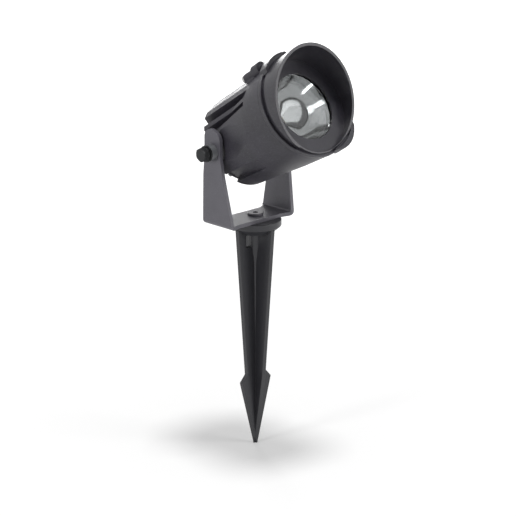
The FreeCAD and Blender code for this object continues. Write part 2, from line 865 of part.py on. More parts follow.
def make_hood():
    floor = housing_front + bezel_floor
    shoulder = housing_front + hood_shoulder
    highest = hood_rim_middle + hood_rim_rise + 3
    body = turned("glare_hood", [
        (hood_inner, floor),
        (hood_spigot, floor),
        (hood_spigot, shoulder),
        (hood_radius, shoulder, 0.4),
        (hood_radius, highest),
        (hood_inner, highest),
    ], HEAD)
    # The rim is cut on a slant: long over the lamp, short below it.
    beyond = hood_radius + 5
    slope = hood_rim_rise / ((hood_radius + hood_inner) / 2)
    slant = [
        (-beyond, hood_rim_middle - slope * beyond),
        (beyond, hood_rim_middle + slope * beyond),
        (beyond, highest + 10),
        (-beyond, highest + 10),
    ]
    cut(body, "YZ_Plane", [slant], symmetric=True)


# ---- Lamp head: glass and optics ----------------------------------------------------------------


def make_glass_stack():
    seat = housing_front - seat_depth
    glass_rear = housing_front - glass_height
    turned("front_gasket", [
        (gasket_inner, seat),
        (glass_radius, seat),
        (glass_radius, glass_rear),
        (gasket_inner, glass_rear),
    ], HEAD)
    turned("glass_lens", [
        (0, glass_rear),
        (glass_radius, glass_rear, 0.5),
        (glass_radius, housing_front, 0.5),
        (0, housing_front),
    ], HEAD)


def make_reflector():
    seat = housing_front - seat_depth
    neck = platform_front + pad_height + board_height + holder_height + 0.2
    middle_radius = (reflector_neck + reflector_mouth) * 0.58
    middle = neck + (seat - neck) * 0.4
    turned("reflector", [
        (reflector_neck, neck),
        (reflector_neck + reflector_wall, neck),
        (middle_radius + reflector_wall, middle - 0.4, 30),
        (reflector_mouth + reflector_wall, seat),
        (reflector_flange, seat),
        (reflector_flange, seat + reflector_wall),
        (reflector_mouth, seat + reflector_wall),
        (middle_radius, middle, 30),
    ], HEAD)


def make_led_stack():
    board_rear = platform_front + pad_height
    board_front = board_rear + board_height
    half_pad = pad_side / 2
    half_board = board_side / 2
    padded("thermal_pad", "XY_Plane", [rectangle(-half_pad, half_pad, -half_pad, half_pad)],
           pad_height, platform_front, HEAD)
    padded("led_board", "XY_Plane", [rectangle(-half_board, half_board, -half_board, half_board)],
           board_height, board_rear, HEAD)
    padded("led_emitter", "XY_Plane", [Circle(0, 0, emitter_radius)], emitter_height, board_front, HEAD)
    small = small_screw_radius + play
    holes = [Circle(holder_screw_place * side, 0, small) for side in (-1, 1)]
    shapes = [Circle(0, 0, holder_radius), Circle(0, 0, holder_opening)] + holes
    padded("led_holder", "XY_Plane", shapes, holder_height, board_front, HEAD)
    screws = []
    holder_front = board_front + holder_height
    shank_end = platform_front - 4.5
    for side in (-1, 1):
        place = along("up", shank_end.value, holder_screw_place.value * side)
        screws.append(round_screw(f"HolderScrew{side + 1}", HEAD, place, small_screw_radius,
                                  holder_front - shank_end, small_head_radius, small_head_height))
    group("holder_screws", screws)


# ---- Lamp head: rear cover and cable gland ------------------------------------------------------


def make_rear_cover():
    back = rear_face - cover_height
    spigot = rear_face + cover_spigot
    hole = gland_thread + play
    groove_half = seal_radius + 0.2
    groove_floor = rear_face - seal_radius * 2
    body = turned("rear_cover", [
        (hole, back),
        (cover_radius, back, 1),
        (cover_radius, rear_face),
        (seal_ring + groove_half, rear_face),
        (seal_ring + groove_half, groove_floor),
        (seal_ring - groove_half, groove_floor),
        (seal_ring - groove_half, rear_face),
        (chamber_radius - play, rear_face),
        (chamber_radius - play, spigot),
        (hole, spigot),
    ], HEAD)
    holes = [Circle(*polar(cover_screw_ring, 45 + 90 * k), small_screw_radius + play) for k in range(4)]
    cut(body, "XY_Plane", holes, symmetric=True)
    seal_place = along("up", (rear_face - seal_radius).value)
    seal = primitive("Part::Torus", "rear_cover_seal", HEAD, seal_place,
                     Radius1=seal_ring, Radius2=seal_radius)
    pieces["rear_cover_seal"] = seal
    screws = []
    for index in range(4):
        x, y = polar(cover_screw_ring, 45 + 90 * index)
        start = back + cover_screw_length
        place = along("down", start.value, x.value, y.value)
        screws.append(round_screw(f"CoverScrew{index}", HEAD, place, small_screw_radius,
                                  cover_screw_length, small_head_radius, small_head_height))
    group("rear_cover_screws", screws)


def make_gland():
    back = rear_face - cover_height
    collar_front = back - gland_gasket
    collar_rear = collar_front - gland_collar
    nose_rear = collar_rear - gland_nose
    inner_end = rear_face + cover_spigot + locknut_height + 0.8
    seat = collar_rear + 1.5
    turned("gland_washer", [
        (gland_thread + play, collar_front),
        (gland_thread + 1.8, collar_front),
        (gland_thread + 1.8, back),
        (gland_thread + play, back),
    ], HEAD)
    body = turned("gland_body", [
        (gland_bore, inner_end),
        (gland_thread, inner_end, 0.4),
        (gland_thread, nose_rear, 0.4),
        (gland_seal_radius + play, nose_rear),
        (gland_seal_radius + play, seat),
        (gland_bore, seat),
    ], HEAD)
    add(body, "XY_Plane", [hexagon(gland_flats), Circle(0, 0, gland_thread)], gland_collar,
        offset=collar_rear)
    seal_rear = nose_rear - 0.6
    turned("gland_seal", [
        (cable_radius, seat - 0.1),
        (gland_seal_radius, seat - 0.1),
        (gland_seal_radius, seal_rear),
        (cable_radius, seal_rear),
    ], HEAD)
    cap_front = collar_rear - 0.5
    cap_rear = cap_front - gland_cap
    cap = padded("gland_cap_nut", "XY_Plane", [hexagon(gland_flats)], gland_cap, cap_rear, HEAD)
    round_groove(cap, [
        (0, cap_front + 1),
        (gland_thread + play, cap_front + 1),
        (gland_thread + play, seal_rear - 0.1),
        (gland_bore + 0.6, seal_rear - 0.1),
        (gland_bore + 0.6, cap_rear - 1),
        (0, cap_rear - 1),
    ])
    # The cap's rear edge is turned down to a dome.
    shoulder = gland_flats / 2
    round_groove(cap, [
        (shoulder + 3, cap_rear + 5),
        (shoulder + 3, cap_rear - 1),
        (shoulder - 2.4, cap_rear - 1),
        (shoulder - 2.4, cap_rear),
        (shoulder - 0.6, cap_rear + 2.2),
    ])
    locknut_front = rear_face + cover_spigot
    locknut = padded("gland_locknut", "XY_Plane", [hexagon(gland_flats)], locknut_height,
                     locknut_front, HEAD)
    cut(locknut, "XY_Plane", [Circle(0, 0, gland_thread + play)], symmetric=True)


# ---- Lamp head: driver --------------------------------------------------------------------------


def driver_block(label, left, right, rear, front, height):
    # A box that stands on the driver board.
    return padded(label, "XZ_Plane", [rectangle(left, right, rear, front)], height,
                  driver_drop - driver_board_height, HEAD, reverse=True)


def driver_can(name, x, z, radius, height):
    # A round part that stands on the driver board.
    board_top = driver_board_height - driver_drop
    place = Placement(Vector(x, board_top.value, z), Rotation(Vector(1, 0, 0), -90))
    return primitive("Part::Cylinder", name, HEAD, place, Radius=radius, Height=height)


def make_driver():
    padded("driver_board", "XZ_Plane", [rectangle(-driver_half, driver_half, driver_rear, driver_front)],
           driver_board_height, driver_drop, HEAD, reverse=True)
    block = driver_block("input_terminal", -6, 6, driver_rear, driver_rear + 7.5, 9)
    wire_entries = [Circle(side * 2.8, 0, 1.6) for side in (-1, 1)]
    cut(block, "XY_Plane", wire_entries, 5, offset=driver_rear, reverse=True)
    driver_block("driver_transformer", -8, 8, 6, 20, 11)
    group("driver_capacitors", [driver_can("CapacitorA", 13.4, 6, 3.6, 10),
                                driver_can("CapacitorB", 13.4, 16, 3.6, 10)])
    pieces["driver_inductor"] = driver_can("driver_inductor", -13.6, 14, 4.2, 8)


def bent_wire(points, bend_radii):
    # Straight runs joined by tangent arcs.
    edges = []
    start = points[0]
    for corner, after, radius in zip(points[1:-1], points[2:], bend_radii):
        back = (start - corner).normalize()
        ahead = (after - corner).normalize()
        half_angle = back.getAngle(ahead) / 2
        reach = radius / math.tan(half_angle)
        centre = corner + (back + ahead).normalize() * (radius / math.sin(half_angle))
        middle = centre + (corner - centre).normalize() * radius
        arc_start = corner + back * reach
        arc_end = corner + ahead * reach
        edges.append(Part.LineSegment(start, arc_start).toShape())
        edges.append(Part.Arc(arc_start, middle, arc_end).toShape())
        start = arc_end
    edges.append(Part.LineSegment(start, points[-1]).toShape())
    return Part.Wire(edges)


def make_output_leads():
    # Two leads from the back of the driver board, through the platform, to the LED holder's edge.
    holder_middle = (platform_front + pad_height + board_height + holder_height / 2).value
    board_back = -driver_drop.value
    drop = -lead_drop.value
    leave = driver_front.value - 5
    leads = []
    for side in (-1, 1):
        x = side * lead_spacing.value
        holder_edge = -math.sqrt(holder_radius.value ** 2 - x ** 2)
        points = [
            Vector(x, board_back, leave),
            Vector(x, drop, leave),
            Vector(x, drop, holder_middle),
            Vector(x, holder_edge - 0.02, holder_middle),
        ]
        path = bent_wire(points, (3.5, 1.3))
        start = Part.Wire(Part.makeCircle(lead_radius.value, points[0], Vector(0, -1, 0)))
        leads.append(path.makePipeShell([start], True, False))
    node = doc.addObject("Part::Feature", "output_leads")
    node.Label = "output_leads"
    node.Shape = Part.makeCompound(leads)
    node.Placement = HEAD
    pieces["output_leads"] = node


# ---- Build, check and write ---------------------------------------------------------------------

make_spike()
make_threaded_insert()
make_base_fasteners()
make_bracket()
make_pivot_hardware()
make_housing()
make_bezel()
make_bezel_screws()
make_hood()
make_glass_stack()
make_reflector()
make_led_stack()
make_rear_cover()
make_gland()
make_driver()
make_output_leads()

doc.recompute()

for item in doc.Objects:
    if "Invalid" in item.State or "Error" in item.State:
        raise ValueError(f"{item.Label} failed: {item.State}")

for label, piece in pieces.items():
    shape = piece.Shape
    if shape.isNull() or not shape.isValid():
        raise ValueError(f"{label} has no valid shape")
    shape.exportStep(f"parts/{label}.step")
    box = shape.BoundBox
    print(f"{label:22s} solids {len(shape.Solids)}  volume {shape.Volume:10.1f}  "
          f"x {box.XMin:7.1f} {box.XMax:7.1f}  y {box.YMin:7.1f} {box.YMax:7.1f}  "
          f"z {box.ZMin:7.1f} {box.ZMax:7.1f}")
print(len(pieces), "nodes")
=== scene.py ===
import math

import bpy
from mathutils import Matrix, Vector


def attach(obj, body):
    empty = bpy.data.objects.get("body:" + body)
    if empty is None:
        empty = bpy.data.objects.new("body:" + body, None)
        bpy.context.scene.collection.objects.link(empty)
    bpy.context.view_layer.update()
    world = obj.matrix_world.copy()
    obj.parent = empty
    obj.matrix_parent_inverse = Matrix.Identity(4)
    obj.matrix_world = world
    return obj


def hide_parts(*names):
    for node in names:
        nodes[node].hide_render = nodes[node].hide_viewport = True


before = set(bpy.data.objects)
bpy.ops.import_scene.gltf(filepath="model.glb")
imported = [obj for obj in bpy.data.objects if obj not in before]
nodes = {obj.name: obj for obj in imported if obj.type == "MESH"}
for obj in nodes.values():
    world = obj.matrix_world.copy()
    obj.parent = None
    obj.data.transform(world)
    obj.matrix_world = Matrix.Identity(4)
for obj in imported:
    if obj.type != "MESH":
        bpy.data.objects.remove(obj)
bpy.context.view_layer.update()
scene = bpy.context.scene


cameraSettings = {
    "azimuth": -44.0,  # degrees, 0 looks at the lamp from its front
    "elevation": 17.1,
    "distance": 2.0,
    "aim": (0.0, 0.0, -0.021),
    "lens": 180.0,
    "sensor": 36.0,
    "shift": (0.0052, -0.0149),  # puts the aim where the photograph has it
    "clipStart": 0.05,
}


def makeCamera(settings):
    azimuth = math.radians(settings["azimuth"])
    elevation = math.radians(settings["elevation"])
    back = Vector((math.sin(azimuth) * math.cos(elevation),
                   -math.cos(azimuth) * math.cos(elevation),
                   math.sin(elevation)))
    data = bpy.data.cameras.new("photoCamera")
    data.lens = settings["lens"]
    data.sensor_width = settings["sensor"]
    data.shift_x, data.shift_y = settings["shift"]
    data.clip_start = settings["clipStart"]
    camera = bpy.data.objects.new("photoCamera", data)
    camera.location = Vector(settings["aim"]) + back * settings["distance"]
    camera.rotation_euler = back.to_track_quat("Z", "Y").to_euler()
    scene.collection.objects.link(camera)
    scene.camera = camera


makeCamera(cameraSettings)
scene.view_settings.view_transform = "Standard"
print("camera ready")


def newGroup(name, inputs, outputs):
    group = bpy.data.node_groups.new(name, "ShaderNodeTree")
    for label, kind, value in inputs:
        socket = group.interface.new_socket(name=label, in_out="INPUT", socket_type=kind)
        socket.default_value = value
    for label, kind in outputs:
        group.interface.new_socket(name=label, in_out="OUTPUT", socket_type=kind)
    start = group.nodes.new("NodeGroupInput")
    end = group.nodes.new("NodeGroupOutput")
    return group, start, end


def addNode(tree, kind, values=None, **settings):
    node = tree.nodes.new(kind)
    for key, value in settings.items():
        setattr(node, key, value)
    for key, value in (values or {}).items():
        node.inputs[key].default_value = value
    return node


def wire(tree, source, target):
    # Links a socket, or sets a plain value.
    if hasattr(source, "is_linked"):
        tree.links.new(source, target)
    else:
        target.default_value = source


def mathNode(tree, operation, first, second):
    node = addNode(tree, "ShaderNodeMath", operation=operation)
    wire(tree, first, node.inputs[0])
    wire(tree, second, node.inputs[1])
    return node.outputs[0]


def stretched(tree, value, fromRange, toRange=(0.0, 1.0)):
    # Stretches one range of a value over another, and holds it at both ends.
    node = addNode(tree, "ShaderNodeMapRange", {
        "From Min": fromRange[0], "From Max": fromRange[1],
        "To Min": toRange[0], "To Max": toRange[1]})
    tree.links.new(value, node.inputs["Value"])
    return node.outputs[0]


def mixColour(tree, factor, first, second):
    node = addNode(tree, "ShaderNodeMix", data_type="RGBA")
    for index, source in ((0, factor), (6, first), (7, second)):  # the node's colour sockets
        wire(tree, source, node.inputs[index])
    return node.outputs[2]


surfaceOutputs = [  # the same for all three shader groups
    ("Colour", "NodeSocketColor"),
    ("Roughness", "NodeSocketFloat"),
    ("Height", "NodeSocketFloat"),
]

coatPattern = {
    "pebbleDetail": 2.0,
    "pebbleRoughness": 0.45,
    "cloudScale": 45.0,
    "cloudDetail": 3.0,
    "cloudRange": (0.35, 0.65),
    "fleckScale": 2600.0,
    "fleckDetail": 1.0,
    "fleckRange": (0.62, 0.72),
    "fleckShare": 0.35,
    "fleckColour": (0.3, 0.31, 0.33, 1),
}


def makeCoatGroup(pattern):
    # Sprayed powder: a pebbled skin, slow cloudy changes of shade and a few light flecks.
    group, start, end = newGroup("sprayedCoat", [
        ("Colour", "NodeSocketColor", (0.05, 0.05, 0.05, 1)),
        ("Second Colour", "NodeSocketColor", (0.08, 0.08, 0.08, 1)),
        ("Pebble Scale", "NodeSocketFloat", 900.0),
        ("Roughness", "NodeSocketFloat", 0.4),
        ("Spread", "NodeSocketFloat", 0.1),
    ], surfaceOutputs)
    place = addNode(group, "ShaderNodeTexCoord")
    pebble = addNode(group, "ShaderNodeTexNoise", {
        "Detail": pattern["pebbleDetail"], "Roughness": pattern["pebbleRoughness"]})
    cloud = addNode(group, "ShaderNodeTexNoise", {
        "Scale": pattern["cloudScale"], "Detail": pattern["cloudDetail"]})
    fleck = addNode(group, "ShaderNodeTexNoise", {
        "Scale": pattern["fleckScale"], "Detail": pattern["fleckDetail"]})
    for texture in (pebble, cloud, fleck):
        group.links.new(place.outputs["Object"], texture.inputs["Vector"])
    group.links.new(start.outputs["Pebble Scale"], pebble.inputs["Scale"])
    cloudShare = stretched(group, cloud.outputs["Fac"], pattern["cloudRange"])
    shade = mixColour(group, cloudShare, start.outputs["Colour"], start.outputs["Second Colour"])
    fleckShare = stretched(group, fleck.outputs["Fac"], pattern["fleckRange"],
                           (0.0, pattern["fleckShare"]))
    shade = mixColour(group, fleckShare, shade, pattern["fleckColour"])
    group.links.new(shade, end.inputs["Colour"])
    change = mathNode(group, "SUBTRACT", cloud.outputs["Fac"], 0.5)
    change = mathNode(group, "MULTIPLY", change, start.outputs["Spread"])
    rough = mathNode(group, "ADD", change, start.outputs["Roughness"])
    group.links.new(rough, end.inputs["Roughness"])
    group.links.new(pebble.outputs["Fac"], end.inputs["Height"])
    return group


mouldPattern = {
    "streakScale": (90.0, 90.0, 9.0),  # ten times longer up and down than across
    "streakDetail": 3.0,
    "streakRange": (0.3, 0.7),
    "glossChange": 0.18,
    "grainDetail": 2.0,
}


def makeMouldGroup(pattern):
    # Moulded plastic or rubber: fine grain, with faint streaks along the flow.
    group, start, end = newGroup("mouldedGrain", [
        ("Colour", "NodeSocketColor", (0.05, 0.05, 0.05, 1)),
        ("Streak Colour", "NodeSocketColor", (0.08, 0.08, 0.08, 1)),
        ("Grain Scale", "NodeSocketFloat", 1500.0),
        ("Roughness", "NodeSocketFloat", 0.5),
    ], surfaceOutputs)
    place = addNode(group, "ShaderNodeTexCoord")
    stretch = addNode(group, "ShaderNodeMapping", {"Scale": pattern["streakScale"]})
    group.links.new(place.outputs["Object"], stretch.inputs["Vector"])
    streak = addNode(group, "ShaderNodeTexNoise", {"Scale": 1.0, "Detail": pattern["streakDetail"]})
    group.links.new(stretch.outputs["Vector"], streak.inputs["Vector"])
    grain = addNode(group, "ShaderNodeTexNoise", {"Detail": pattern["grainDetail"]})
    group.links.new(place.outputs["Object"], grain.inputs["Vector"])
    group.links.new(start.outputs["Grain Scale"], grain.inputs["Scale"])
    streakShare = stretched(group, streak.outputs["Fac"], pattern["streakRange"])
    shade = mixColour(group, streakShare, start.outputs["Colour"], start.outputs["Streak Colour"])
    group.links.new(shade, end.inputs["Colour"])
    change = mathNode(group, "SUBTRACT", streak.outputs["Fac"], 0.5)
    change = mathNode(group, "MULTIPLY", change, pattern["glossChange"])
    rough = mathNode(group, "ADD", change, start.outputs["Roughness"])
    group.links.new(rough, end.inputs["Roughness"])
    group.links.new(grain.outputs["Fac"], end.inputs["Height"])
    return group


metalPattern = {
    "markDetail": 1.0,
    "spotScale": 300.0,
    "spotDetail": 4.0,
    "spotRange": (0.45, 0.75),
    "spotRoughness": 0.15,  # added where a spot is full
}


def makeMetalGroup(pattern):
    # Worked metal: fine tool marks and a few duller spots.
    group, start, end = newGroup("workedMetal", [
        ("Colour", "NodeSocketColor", (0.5, 0.5, 0.5, 1)),
        ("Dull Colour", "NodeSocketColor", (0.3, 0.3, 0.3, 1)),
        ("Mark Scale", "NodeSocketFloat", 3000.0),
        ("Roughness", "NodeSocketFloat", 0.3),
    ], surfaceOutputs)
    place = addNode(group, "ShaderNodeTexCoord")
    marks = addNode(group, "ShaderNodeTexNoise", {"Detail": pattern["markDetail"]})
    spots = addNode(group, "ShaderNodeTexNoise", {
        "Scale": pattern["spotScale"], "Detail": pattern["spotDetail"]})
    for texture in (marks, spots):
        group.links.new(place.outputs["Object"], texture.inputs["Vector"])
    group.links.new(start.outputs["Mark Scale"], marks.inputs["Scale"])
    spotShare = stretched(group, spots.outputs["Fac"], pattern["spotRange"])
    shade = mixColour(group, spotShare, start.outputs["Colour"], start.outputs["Dull Colour"])
    group.links.new(shade, end.inputs["Colour"])
    change = mathNode(group, "MULTIPLY", spotShare, pattern["spotRoughness"])
    rough = mathNode(group, "ADD", change, start.outputs["Roughness"])
    group.links.new(rough, end.inputs["Roughness"])
    group.links.new(marks.outputs["Fac"], end.inputs["Height"])
    return group


groups = {
    "coat": makeCoatGroup(coatPattern),
    "mould": makeMouldGroup(mouldPattern),
    "metal": makeMetalGroup(metalPattern),
}

materials = {}

surfaceRelief = {
    "edgeRadius": 0.0004,  # how round every sharp edge looks, in metres
    "edgeSamples": 4,
    "bumpDepth": 0.0002,
}


def grey(value, blue=1.0):
    # A grey whose blue is multiplied, and whose green follows two fifths of the way.
    greenFollows = 0.4
    return (value, value * (1 + (blue - 1) * greenFollows), value * blue, 1.0)


def makeMaterial(name, settings, relief):
    material = bpy.data.materials.new(name)
    material.use_nodes = True
    tree = material.node_tree
    shader = tree.nodes["Principled BSDF"]
    surface = addNode(tree, "ShaderNodeGroup")
    surface.node_tree = groups[settings["group"]]
    for key, value in settings["surface"].items():
        surface.inputs[key].default_value = value
    tree.links.new(surface.outputs["Colour"], shader.inputs["Base Color"])
    tree.links.new(surface.outputs["Roughness"], shader.inputs["Roughness"])
    edge = addNode(tree, "ShaderNodeBevel", {"Radius": relief["edgeRadius"]},
                   samples=relief["edgeSamples"])
    bump = addNode(tree, "ShaderNodeBump", {
        "Strength": settings["bump"], "Distance": relief["bumpDepth"]})
    tree.links.new(edge.outputs["Normal"], bump.inputs["Normal"])
    tree.links.new(surface.outputs["Height"], bump.inputs["Height"])
    tree.links.new(bump.outputs["Normal"], shader.inputs["Normal"])
    for key, value in settings.get("shader", {}).items():
        shader.inputs[key].default_value = value
    materials[name] = material


finishes = {
    "headCoat": {
        "group": "coat", "bump": 0.25,
        "surface": {"Colour": (0.0165, 0.015, 0.0215, 1),
                    "Second Colour": (0.026, 0.0235, 0.033, 1),
                    "Pebble Scale": 1100.0, "Roughness": 0.46, "Spread": 0.2},
        "shader": {"Specular IOR Level": 0.4},
    },
    "hoodCoat": {  # turned parts, smoother under the same powder
        "group": "coat", "bump": 0.15,
        "surface": {"Colour": (0.0165, 0.015, 0.0215, 1), "Second Colour": (0.022, 0.02, 0.028, 1),
                    "Pebble Scale": 1400.0, "Roughness": 0.34, "Spread": 0.12},
        "shader": {"Specular IOR Level": 0.5},
    },
    "bracketCoat": {
        "group": "coat", "bump": 0.2,
        "surface": {"Colour": (0.086, 0.083, 0.099, 1), "Second Colour": (0.104, 0.1, 0.118, 1),
                    "Pebble Scale": 900.0, "Roughness": 0.42, "Spread": 0.1},
        "shader": {"Metallic": 0.1},
    },
    "spikePlastic": {
        "group": "mould", "bump": 0.12,
        "surface": {"Colour": (0.017, 0.017, 0.021, 1), "Streak Colour": (0.026, 0.026, 0.031, 1),
                    "Grain Scale": 1500.0, "Roughness": 0.4},
        "shader": {"Specular IOR Level": 0.5},
    },
    "fastenerSteel": {
        "group": "metal", "bump": 0.08,
        "surface": {"Colour": grey(0.024, 1.1), "Dull Colour": grey(0.014, 1.1), "Roughness": 0.38},
        "shader": {"Metallic": 0.5, "Specular IOR Level": 0.35},
    },
    "spacerCoat": {
        "group": "coat", "bump": 0.15,
        "surface": {"Colour": grey(0.16, 1.08), "Second Colour": grey(0.2, 1.08), "Roughness": 0.4,
                    "Spread": 0.1},
        "shader": {"Metallic": 0.5},
    },
    "screwSteel": {
        "group": "metal", "bump": 0.06,
        "surface": {"Colour": grey(0.5), "Dull Colour": grey(0.35), "Roughness": 0.28},
        "shader": {"Metallic": 1.0},
    },
    "brass": {
        "group": "metal", "bump": 0.06,
        "surface": {"Colour": (0.62, 0.42, 0.16, 1), "Dull Colour": (0.4, 0.27, 0.11, 1),
                    "Roughness": 0.3},
        "shader": {"Metallic": 1.0},
    },
    "blackPlastic": {
        "group": "mould", "bump": 0.15,
        "surface": {"Colour": grey(0.03, 1.05), "Streak Colour": grey(0.045, 1.05),
                    "Roughness": 0.45},
    },
    "sealRubber": {
        "group": "mould", "bump": 0.3,
        "surface": {"Colour": grey(0.02), "Streak Colour": grey(0.03), "Grain Scale": 2200.0,
                    "Roughness": 0.75},
    },
    "reflectorChrome": {
        "group": "metal", "bump": 0.015,
        "surface": {"Colour": grey(0.52, 1.01), "Dull Colour": grey(0.44, 1.01), "Roughness": 0.05,
                    "Mark Scale": 300.0},
        "shader": {"Metallic": 1.0},
    },
    "boardAluminium": {
        "group": "metal", "bump": 0.05,
        "surface": {"Colour": grey(0.8), "Dull Colour": grey(0.7), "Roughness": 0.4},
        "shader": {"Metallic": 0.6},
    },
    "phosphor": {
        "group": "mould", "bump": 0.3,
        "surface": {"Colour": (0.85, 0.62, 0.1, 1), "Streak Colour": (0.9, 0.7, 0.16, 1),
                    "Grain Scale": 900.0, "Roughness": 0.4},
        "shader": {"Coat Weight": 0.4},
    },
    "whitePlastic": {
        "group": "mould", "bump": 0.08,
        "surface": {"Colour": grey(0.75), "Streak Colour": grey(0.8), "Roughness": 0.35},
    },
    "thermalPad": {
        "group": "mould", "bump": 0.35,
        "surface": {"Colour": (0.3, 0.38, 0.48, 1), "Streak Colour": (0.34, 0.42, 0.52, 1),
                    "Roughness": 0.8},
    },
    "driverLaminate": {
        "group": "mould", "bump": 0.1,
        "surface": {"Colour": (0.02, 0.16, 0.05, 1), "Streak Colour": (0.03, 0.2, 0.07, 1),
                    "Roughness": 0.3},
        "shader": {"Coat Weight": 0.3},
    },
    "terminalPlastic": {
        "group": "mould", "bump": 0.1,
        "surface": {"Colour": (0.03, 0.28, 0.12, 1), "Streak Colour": (0.04, 0.33, 0.15, 1),
                    "Roughness": 0.35},
    },
    "transformerTape": {
        "group": "mould", "bump": 0.1,
        "surface": {"Colour": (0.7, 0.5, 0.08, 1), "Streak Colour": (0.75, 0.56, 0.12, 1),
                    "Roughness": 0.3},
    },
    "capacitorSleeve": {
        "group": "mould", "bump": 0.05,
        "surface": {"Colour": grey(0.03, 1.6), "Streak Colour": grey(0.04, 1.6), "Roughness": 0.25},
    },
    "inductorCore": {
        "group": "mould", "bump": 0.3,
        "surface": {"Colour": grey(0.06), "Streak Colour": grey(0.08), "Roughness": 0.6},
    },
    "leadSleeve": {
        "group": "mould", "bump": 0.05,
        "surface": {"Colour": (0.55, 0.03, 0.02, 1), "Streak Colour": (0.6, 0.05, 0.03, 1),
                    "Roughness": 0.4},
    },
}

for finishName, finish in finishes.items():
    makeMaterial(finishName, finish, surfaceRelief)

lensGlass = {
    "colour": (0.96, 0.98, 0.98, 1),
    "ior": 1.45,
    "smearScale": 60.0,
    "smearDetail": 4.0,
    "smearRange": (0.4, 0.8),
    "smearRoughness": 0.03,
}


def makeGlass(settings):
    # Clear toughened glass with a faint smear of dust.
    material = bpy.data.materials.new("clearGlass")
    material.use_nodes = True
    tree = material.node_tree
    shader = tree.nodes["Principled BSDF"]
    shader.inputs["Base Color"].default_value = settings["colour"]
    shader.inputs["Transmission Weight"].default_value = 1.0
    shader.inputs["IOR"].default_value = settings["ior"]
    place = addNode(tree, "ShaderNodeTexCoord")
    smear = addNode(tree, "ShaderNodeTexNoise", {
        "Scale": settings["smearScale"], "Detail": settings["smearDetail"]})
    tree.links.new(place.outputs["Object"], smear.inputs["Vector"])
    haze = stretched(tree, smear.outputs["Fac"], settings["smearRange"],
                     (0.0, settings["smearRoughness"]))
    tree.links.new(haze, shader.inputs["Roughness"])
    materials["clearGlass"] = material


makeGlass(lensGlass)

nodeFinish = {
    "spike": "spikePlastic",
    "threaded_insert": "brass",
    "base_bolt": "bracketCoat",
    "glide_washer": "blackPlastic",
    "bracket": "bracketCoat",
    "pivot_bolts": "fastenerSteel",
    "pivot_spring_washers": "fastenerSteel",
    "pivot_flat_washers": "fastenerSteel",
    "pivot_spacers": "spacerCoat",
    "friction_washers": "blackPlastic",
    "heat_sink_housing": "headCoat",
    "bezel_ring": "hoodCoat",
    "bezel_screws": "screwSteel",
    "glare_hood": "hoodCoat",
    "front_gasket": "sealRubber",
    "glass_lens": "clearGlass",
    "reflector": "reflectorChrome",
    "thermal_pad": "thermalPad",
    "led_board": "boardAluminium",
    "led_emitter": "phosphor",
    "led_holder": "whitePlastic",
    "holder_screws": "screwSteel",
    "rear_cover": "headCoat",
    "rear_cover_seal": "sealRubber",
    "rear_cover_screws": "screwSteel",
    "gland_washer": "sealRubber",
    "gland_body": "blackPlastic",
    "gland_seal": "sealRubber",
    "gland_cap_nut": "blackPlastic",
    "gland_locknut": "blackPlastic",
    "driver_board": "driverLaminate",
    "input_terminal": "terminalPlastic",
    "driver_transformer": "transformerTape",
    "driver_capacitors": "capacitorSleeve",
    "driver_inductor": "inductorCore",
    "output_leads": "leadSleeve",
}

for nodeName, finishName in nodeFinish.items():
    nodeMesh = nodes[nodeName].data
    nodeMesh.materials.clear()
    nodeMesh.materials.append(materials[finishName])
print("materials ready")

headFrame = {
    "pivot": (-0.0056, 0.0035, 0.0646),  # where the tilt axis crosses the lamp's own axis
    "tilt": 33.4,  # degrees above level
}


def headPoint(x, up, forward):
    # A place on the head: across, towards its upper side and forward along its axis, in metres.
    tilt = math.radians(headFrame["tilt"])
    axis = Vector((0, -math.cos(tilt), math.sin(tilt)))
    top = Vector((0, math.sin(tilt), math.cos(tilt)))
    return Vector(headFrame["pivot"]) + Vector((x, 0, 0)) + top * up + axis * forward


def headDirection(x, up, forward):
    # The same three ways, as a direction.
    return headPoint(x, up, forward) - headPoint(0, 0, 0)


def onRing(radius, degrees, forward):
    # A place on a circle round the head's axis, turned from its upper side towards X.
    turn = math.radians(degrees)
    return headPoint(radius * math.sin(turn), radius * math.cos(turn), forward)


def newTree(name, inputs):
    tree = bpy.data.node_groups.new(name, "GeometryNodeTree")
    tree.interface.new_socket(name="Geometry", in_out="INPUT", socket_type="NodeSocketGeometry")
    for label, kind, value in inputs:
        socket = tree.interface.new_socket(name=label, in_out="INPUT", socket_type=kind)
        if value is not None:
            socket.default_value = value
    tree.interface.new_socket(name="Geometry", in_out="OUTPUT", socket_type="NodeSocketGeometry")
    return tree, tree.nodes.new("NodeGroupInput"), tree.nodes.new("NodeGroupOutput")


def barrel(tree, sides, radius, depth, lift):
    # A prism or cylinder whose middle is lifted along Z.
    body = tree.nodes.new("GeometryNodeMeshCylinder")
    wire(tree, sides, body.inputs["Vertices"])
    wire(tree, radius, body.inputs["Radius"])
    wire(tree, depth, body.inputs["Depth"])
    return lifted(tree, body.outputs["Mesh"], lift)


def lifted(tree, mesh, height):
    combine = tree.nodes.new("ShaderNodeCombineXYZ")
    wire(tree, height, combine.inputs["Z"])
    move = tree.nodes.new("GeometryNodeTransform")
    tree.links.new(mesh, move.inputs["Geometry"])
    tree.links.new(combine.outputs[0], move.inputs["Translation"])
    return move.outputs["Geometry"]


def cone(tree, sides, top, bottom, depth):
    body = addNode(tree, "GeometryNodeMeshCone", {"Vertices": sides})
    wire(tree, top, body.inputs["Radius Top"])
    wire(tree, bottom, body.inputs["Radius Bottom"])
    wire(tree, depth, body.inputs["Depth"])
    return body.outputs["Mesh"]


